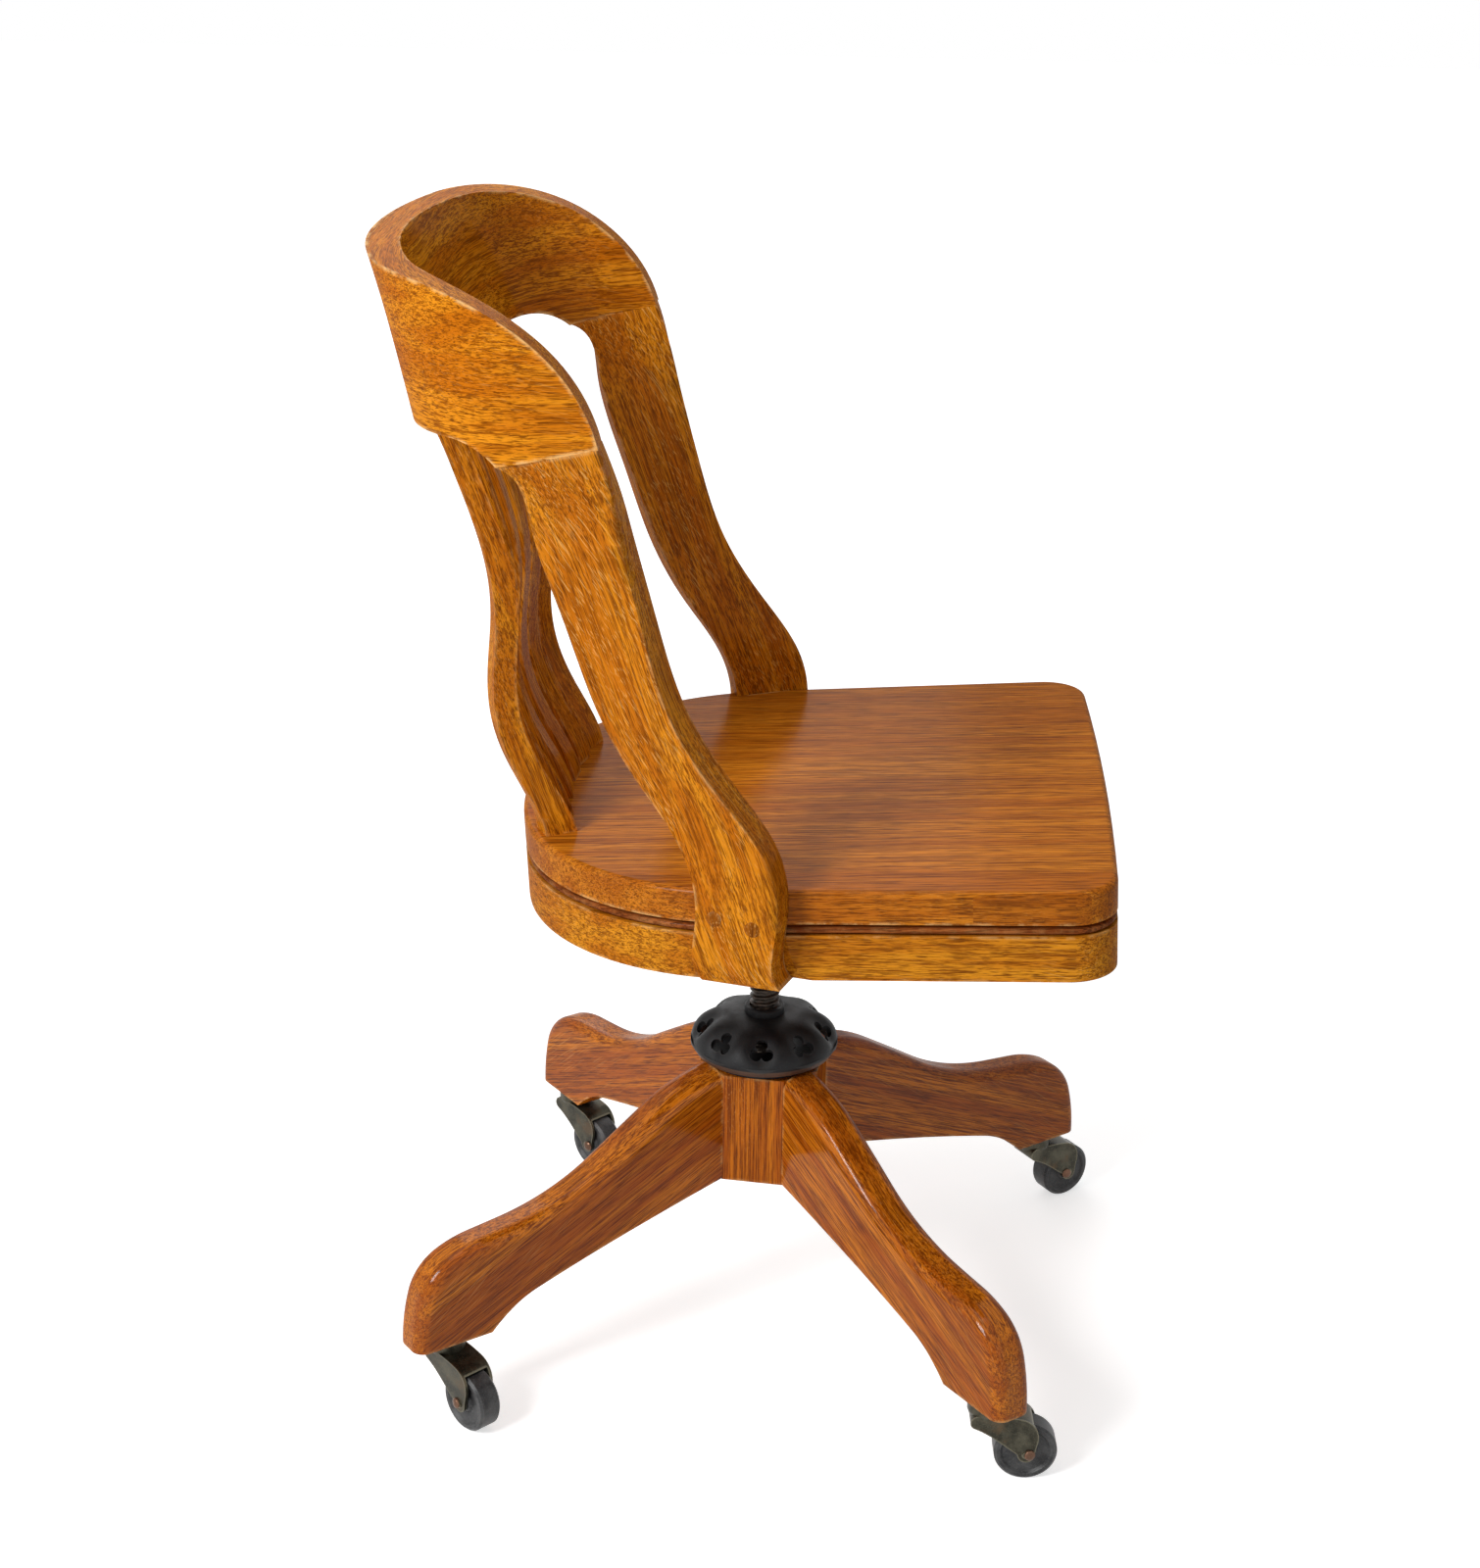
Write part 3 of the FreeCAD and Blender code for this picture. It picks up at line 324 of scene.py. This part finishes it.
crest_oak = oak("oak_back_crest", bent_grain(-0.05, *CREST_BEND), bent_grain(0.12, *CREST_BEND), *BACK, 0.42,
                flecks=0.12, wear_and_highlight=0.8)
post_oak = oak("oak_back_post", straight_grain(LEAN_UP), straight_grain(LEAN_UP, 0.3), *BACK, 0.42)
slat_oak = oak("oak_back_slat", straight_grain(LEAN_UP), straight_grain(LEAN_UP, 0.2), *BACK, 0.42, flecks=0.2,
                wear_and_highlight=0.25)
board_oak = oak("oak_seat_board", straight_grain((0, 1, -0.05)), straight_grain((0.3, 1, -0.05)), *SEAT, 0.46,
                flecks=0.15, boards=0.118, wear_and_highlight=0.55, coat=0.12)
edge_oak = oak("oak_seat_apron", bent_grain(-0.05, *SEAT_BEND), bent_grain(0.2, *SEAT_BEND), *EDGE, 0.42,
               flecks=0.3)
bead_oak = oak("oak_seat_bead", bent_grain(-0.05, *SEAT_BEND), bent_grain(0.2, *SEAT_BEND),
               (0.34, 0.095, 0.02), (0.20, 0.045, 0.008), (0.5, 0.2, 0.06), 0.38, flecks=0.15, wear_and_highlight=0.3)
hub_oak = oak("oak_base_hub", straight_grain((0, 0, 1)), straight_grain((0, 0, 1), 0.3), *BASE, 0.34,
              flecks=0.25, coat=0.2)
iron_black = metal("cast_iron_black", (0.006, 0.006, 0.007), (0.018, 0.017, 0.018), 0.3, 0.5, 0.5)
iron_wheel = metal("cast_iron_wheel", (0.004, 0.004, 0.005), (0.012, 0.012, 0.012), 0.2, 0.55, 0.6,
                   bare_below=0.2545)
iron_brown = metal("screw_iron", (0.020, 0.016, 0.013), (0.05, 0.038, 0.03), 0.7, 0.42, 0.2, (0.10, 0.045, 0.02))
bronze = metal("caster_bronze", (0.026, 0.025, 0.018), (0.085, 0.078, 0.055), 0.8, 0.34, 0.15,
               (0.10, 0.060, 0.03))
tread = metal("caster_tread_black", (0.014, 0.014, 0.015), (0.075, 0.075, 0.075), 0.1, 0.42, 0.5)


# The plugs are painted darker than the posts: painted shade standing in for the dark ring where each plug meets
# the post.
shaded_plug_oak = oak("oak_plug_painted_shade", straight_grain((0, 0, 1)), straight_grain((0, 0, 1), 0.3), (0.46, 0.145, 0.008),
               (0.30, 0.075, 0.003), (0.7, 0.35, 0.09), 0.42)
rivet_metal = metal("rivet_copper", (0.10, 0.055, 0.035), (0.16, 0.085, 0.055), 0.8, 0.38, 0.1)


def leg_oak(place):
    angle = radians(LEG_ANGLES[place])
    way = (cos(angle), sin(angle), -0.45)
    return oak("oak_base_leg_" + place, straight_grain(way), straight_grain(way, 0.25), *BASE, 0.30, flecks=0.3,
               coat=0.32, coat_roughness=0.11)


def dress(obj, material):
    obj.data.materials.clear()
    obj.data.materials.append(material)


for name, obj in nodes.items():
    if name.startswith("slat_"):
        dress(obj, slat_oak)
    elif name == "crest_rail":
        dress(obj, crest_oak)
    elif name == "seat_board":
        dress(obj, board_oak)
    elif name == "seat_apron":
        dress(obj, edge_oak)
    elif name in ("hub_post", "leg_dowels"):
        dress(obj, hub_oak)
    elif name.startswith("leg_"):
        dress(obj, leg_oak(name[4:]))
    elif name in ("bearing_plate", "seat_iron"):
        dress(obj, iron_black)
    elif name.startswith("caster_wheel"):
        dress(obj, tread)
    elif name.startswith("caster_"):
        dress(obj, bronze)


# Pieces finer than the solids
def build(name, mesh_parts, material, body, node=None, sharp=35):
    """A piece from a bmesh, smooth but for its sharp edges, that rides on a body or stands for a node."""
    mesh = bpy.data.meshes.new(name)
    mesh_parts.normal_update()
    mesh_parts.to_mesh(mesh)
    mesh_parts.free()
    mesh.shade_smooth()
    mesh.set_sharp_from_angle(angle=radians(sharp))
    piece = bpy.data.objects.new(name, mesh)
    scene.collection.objects.link(piece)
    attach(piece, body)
    if node:
        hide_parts(node)
    dress(piece, material)
    return piece


def rings(form, stops, sides, closed, spot=Matrix(), height_change=None):
    """A solid of revolution about Z through stops of radius and height, added to a bmesh."""
    loops = []
    for radius, height in stops:
        loop = []
        for index in range(sides):
            angle = 2 * pi * index / sides
            drop = height_change(radius, height, angle) if height_change else 0
            around = Vector((radius * cos(angle), radius * sin(angle), height + drop))
            loop.append(form.verts.new(spot @ around))
        loops.append(loop)
    pairs = list(zip(loops, loops[1:])) + ([(loops[-1], loops[0])] if closed else [])
    for lower, upper in pairs:
        for index in range(sides):
            after = (index + 1) % sides
            form.faces.new((lower[index], lower[after], upper[after], upper[index]))
    if not closed:
        form.faces.new(list(reversed(loops[0])))
        form.faces.new(loops[-1])


# The screw with its thread.
SCREW_RADIUS = 0.0127
SCREW_PITCH = 0.00635
THREAD_DEPTH = 0.0021
THREAD_SIDES = 40
STEPS_PER_TURN = 8


def thread_depth(height, angle):
    phase = (height / SCREW_PITCH - angle / (2 * pi)) % 1
    return THREAD_DEPTH * min(1, max(0, (abs(phase - 0.5) - 0.15) / 0.12))


low, high = (corner.z for corner in map(Vector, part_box("screw_spindle")))
form = bmesh.new()
loops = []
steps = round((high - low) / SCREW_PITCH * STEPS_PER_TURN)
for step in range(steps + 1):
    height = low + (high - low) * step / steps
    loop = []
    for index in range(THREAD_SIDES):
        angle = 2 * pi * index / THREAD_SIDES
        radius = SCREW_RADIUS - thread_depth(height, angle)
        loop.append(form.verts.new((radius * cos(angle), radius * sin(angle), height)))
    loops.append(loop)
for lower, upper in zip(loops, loops[1:]):
    for index in range(THREAD_SIDES):
        after = (index + 1) % THREAD_SIDES
        form.faces.new((lower[index], lower[after], upper[after], upper[index]))
form.faces.new(list(reversed(loops[0])))
form.faces.new(loops[-1])
build("height_screw", form, iron_brown, "screw", "screw_spindle", 50)


# The hand wheel: a domed cap that dips towards nine trefoil piercings.
WHEEL_LOW, WHEEL_HIGH = (corner.z for corner in map(Vector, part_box("hand_wheel")))
PETALS = 9
WHEEL_RIM = 0.063
COLLAR = 0.017
DOME_FOOT = WHEEL_LOW + 0.009
DOME_TOP = WHEEL_HIGH - 0.006
HOLE_CIRCLE = 0.0515
DIP_CIRCLE = 0.055
DIP_WIDTH = 0.011
DIP_DEPTH = 0.008
DOME_WALL = 0.005
LOBE_RADIUS = 0.0052
LOBE_SPREAD = 0.0058


def dome(inset, steps):
    stops = []
    for step in range(steps + 1):
        angle = pi / 2 * step / steps
        out = sin(angle) ** (2 / 2.6)
        rise = cos(angle) ** (2 / 1.7)
        radius = COLLAR + out * (WHEEL_RIM - inset - COLLAR)
        stops.append((radius, DOME_FOOT + rise * (DOME_TOP - inset - DOME_FOOT)))
    return stops


def petal_dip(radius, height, angle):
    if height < DOME_FOOT + 0.001:
        return 0
    near = exp(-((radius - DIP_CIRCLE) / DIP_WIDTH) ** 2)
    return -DIP_DEPTH * near * (0.5 + 0.5 * cos(PETALS * (angle - pi))) ** 1.3


outer = dome(0, 30)
inner = dome(DOME_WALL, 14)
profile = ([(0.0129, WHEEL_HIGH), (COLLAR - 0.001, WHEEL_HIGH), (COLLAR, WHEEL_HIGH - 0.001)] + outer
           + [(WHEEL_RIM, DOME_FOOT - 0.0015), (WHEEL_RIM - 0.004, WHEEL_LOW + 0.001),
              (WHEEL_RIM - 0.006, WHEEL_LOW)]
           + list(reversed(inner)) + [(0.0129, DOME_TOP - DOME_WALL)])
form = bmesh.new()
rings(form, profile, 216, True, height_change=petal_dip)
bmesh.ops.recalc_face_normals(form, faces=form.faces)
wheel = build("pierced_hand_wheel", form, iron_wheel, "wheel_nut", "hand_wheel")


def trefoil_reach(turn, lobe, spread):
    """How far a trefoil of three round lobes reaches from its middle in one direction."""
    best = 0
    for third in range(3):
        offset = turn - 2 * pi * third / 3
        inside = lobe ** 2 - (spread * sin(offset)) ** 2
        if inside >= 0:
            best = max(best, spread * cos(offset) + sqrt(inside))
    return best


form = bmesh.new()
for petal in range(PETALS):
    angle = pi + 2 * pi * petal / PETALS
    tilt = Matrix.Rotation(angle, 4, "Z") @ Matrix.Translation((HOLE_CIRCLE, 0, DOME_TOP - 0.014)) \
        @ Matrix.Rotation(radians(35), 4, "Y")
    ends = []
    for level in (-0.014, 0.014):
        loop = []
        for index in range(48):
            turn = 2 * pi * index / 48
            reach = trefoil_reach(turn - pi, LOBE_RADIUS, LOBE_SPREAD)
            loop.append(form.verts.new(tilt @ Vector((reach * cos(turn), reach * sin(turn), level))))
        ends.append(loop)
    for index in range(48):
        after = (index + 1) % 48
        form.faces.new((ends[0][index], ends[0][after], ends[1][after], ends[1][index]))
    form.faces.new(list(reversed(ends[0])))
    form.faces.new(ends[1])
cutter_mesh = bpy.data.meshes.new("trefoils")
form.to_mesh(cutter_mesh)
form.free()


def cut_from(piece, tool_mesh):
    """Cuts a closed mesh out of a piece, for good."""
    tool = bpy.data.objects.new("tool", tool_mesh)
    scene.collection.objects.link(tool)
    cut = piece.modifiers.new("cut", "BOOLEAN")
    cut.object = tool
    cut.operation = "DIFFERENCE"
    cut.solver = "EXACT"
    bpy.context.view_layer.update()
    result = bpy.data.meshes.new_from_object(piece.evaluated_get(bpy.context.evaluated_depsgraph_get()))
    piece.modifiers.remove(cut)
    piece.data = result
    bpy.data.objects.remove(tool)
    bpy.data.meshes.remove(tool_mesh)
    result.shade_smooth()
    result.set_sharp_from_angle(angle=radians(35))


cut_from(wheel, cutter_mesh)


# The bead under the seat board, with a groove above it and a finer one below.
BEAD_TOP = -0.0265
BEAD_LEVELS = ((0.0, 5.0), (3.0, 5.0), (3.2, 1.8), (3.9, 0.7), (4.8, 0.15), (5.75, 0.0), (6.7, 0.15), (7.6, 0.7),
               (8.3, 1.8), (8.5, 3.5), (9.5, 3.5))
to_seat = SEAT_FRAME.inverted()
form = bmesh.new()
form.from_mesh(nodes["bead_moulding"].data)
bmesh.ops.remove_doubles(form, verts=form.verts, dist=1e-5)
form.transform(to_seat)
for down, inset in BEAD_LEVELS[1:-1]:
    everything = form.verts[:] + form.edges[:] + form.faces[:]
    bmesh.ops.bisect_plane(form, geom=everything, plane_co=(0, 0, BEAD_TOP - down / 1000), plane_no=(0, 0, 1))
form.normal_update()
moves = []
for vert in form.verts:
    outward = Vector((0, 0, 0))
    for face in vert.link_faces:
        if abs(face.normal.z) < 0.3 and face.normal.dot(vert.co.normalized()) > 0.3:
            outward += face.normal
    if outward.length > 0:
        down = (BEAD_TOP - vert.co.z) * 1000
        inset = min(BEAD_LEVELS, key=lambda level: abs(level[0] - down))[1]
        moves.append((vert, outward.normalized() * -inset / 1000))
for vert, move in moves:
    vert.co += move
form.transform(SEAT_FRAME)
build("bead_and_grooves", form, bead_oak, "seat", "bead_moulding", 40)


# The back posts, swept at their tops to run flush into the crest.
POST_TOP = (0.094, 0.158)
JOINT_FRONT = (0.096, 0.351)
JOINT_FALL = 0.1757
SWEEP_START = 0.25
SWEEP_LENGTH = 0.09
SWEEP_OUT = (0.0035, 0.0080)
SWEEP_REAR = 0.0122
SWEEP_REAR_FALL = 0.009
SWEEP_FRONT = 0.0016
FRONT_START = 0.30
FRONT_LENGTH = 0.05
POST_LEAN = 0.25
LEAN_LEVEL = 0.34


def smooth(value):
    share = min(1, max(0, value))
    return share * share * (3 - 2 * share)


def sweep_post(side, node):
    form = bmesh.new()
    form.from_mesh(nodes[node].data)
    bmesh.ops.remove_doubles(form, verts=form.verts, dist=1e-5)
    form.transform(to_seat)
    cuts = [((0, 0, 0.25 + 0.01 * step), (0, 0, 1)) for step in range(7)]
    cuts += [((0, 0, 0.318 + 0.004 * step), (0, 0, 1)) for step in range(6)]
    cuts += [((0, 0.10 + 0.008 * step, 0), (0, 1, 0)) for step in range(8)]
    for spot, facing in cuts:
        upper = [face for face in form.faces if max(vert.co.z for vert in face.verts) > 0.245]
        geometry = set(upper)
        for face in upper:
            geometry.update(face.verts)
            geometry.update(face.edges)
        bmesh.ops.bisect_plane(form, geom=list(geometry), plane_co=spot, plane_no=facing)
    for vert in form.verts:
        x, y, z = vert.co
        lift = smooth((z - SWEEP_START) / SWEEP_LENGTH)
        if not lift:
            continue
        below = JOINT_FRONT[1] - JOINT_FALL * (y - JOINT_FRONT[0]) - z
        lean = POST_LEAN * (z - LEAN_LEVEL)
        back = min(1, max(0, (y - lean - POST_TOP[0]) / (POST_TOP[1] - POST_TOP[0])))
        rear = SWEEP_REAR * back ** 2 * exp(-max(0, below) / SWEEP_REAR_FALL)
        front = SWEEP_FRONT * (1 - back) ** 4 * smooth((z - FRONT_START) / FRONT_LENGTH)
        out = side * (SWEEP_OUT[0] + SWEEP_OUT[1] * back ** 2) * lift
        vert.co = (x - out, y + rear + front, z - JOINT_FALL * rear)
    form.transform(SEAT_FRAME)
    return build("swept_" + node, form, post_oak, "seat", node, 30)


posts = {side: sweep_post(side, node) for side, node in ((-1, "back_post_right"), (1, "back_post_left"))}

# Plugs over the bolts that hold the back posts to the seat.
PLUGS = ((0.0301, 0.4741), (0.0010, 0.4703))
PLUG_PROFILE = ((0.0062, -0.004), (0.0062, 0.0001), (0.0058, 0.0004), (0.0030, 0.0006), (0.0004, 0.0006))
form = bmesh.new()
for side, post in posts.items():
    for back, height in PLUGS:
        _, spot, facing, _ = post.ray_cast((side * 0.5, back, height), (-side, 0, 0))
        way = facing.to_track_quat("Z", "Y").to_matrix().to_4x4()
        rings(form, PLUG_PROFILE, 32, False, Matrix.Translation(spot) @ way)
build("bolt_plugs", form, shaded_plug_oak, "seat")


# Rivets at the ends of the caster axles.
RIVET = ((0.0044, -0.001), (0.0044, 0.0003), (0.0036, 0.0012), (0.0020, 0.0018), (0.0003, 0.0020))
for place in LEG_ANGLES:
    name = "caster_axle_" + place
    obj = nodes[name]
    corners = [Vector(vertex.co) for vertex in obj.data.vertices]
    middle = sum(corners, Vector()) / len(corners)
    end = max(corners, key=lambda spot: (spot - middle).length) - middle
    way = Vector((end.x, end.y, 0)).normalized()
    half = max((spot - middle).dot(way) for spot in corners)
    form = bmesh.new()
    for side in (1, -1):
        turn = (way * side).to_track_quat("Z", "Y").to_matrix().to_4x4()
        rings(form, RIVET, 24, False, Matrix.Translation(middle + way * side * half) @ turn)
    build("axle_rivets_" + place, form, rivet_metal, "swivel_" + place)


# Slotted screws that hold the seat iron under the board.
IRON_LOW = -0.0325
SCREW_HEAD = ((0.0052, 0.0005), (0.0052, -0.0004), (0.0044, -0.0015), (0.0026, -0.0023), (0.0004, -0.0026))
form = bmesh.new()
slots = bmesh.new()
for arm in (40, -40, 140, -140):
    for out in (0.098, 0.136):
        spot = SEAT_FRAME @ Matrix.Rotation(radians(arm), 4, "Z") @ Matrix.Translation((out, 0, IRON_LOW))
        rings(form, SCREW_HEAD, 24, False, spot)
        turn = spot @ Matrix.Translation((0, 0, -0.0026)) @ Matrix.Rotation(radians(37 * arm + 900 * out), 4, "Z")
        bmesh.ops.create_cube(slots, size=1, matrix=turn @ Matrix.Diagonal((0.012, 0.0012, 0.0024, 1)))
bmesh.ops.recalc_face_normals(form, faces=form.faces)
heads = build("seat_iron_screws", form, iron_brown, "seat")
slot_mesh = bpy.data.meshes.new("slots")
slots.to_mesh(slot_mesh)
slots.free()
cut_from(heads, slot_mesh)
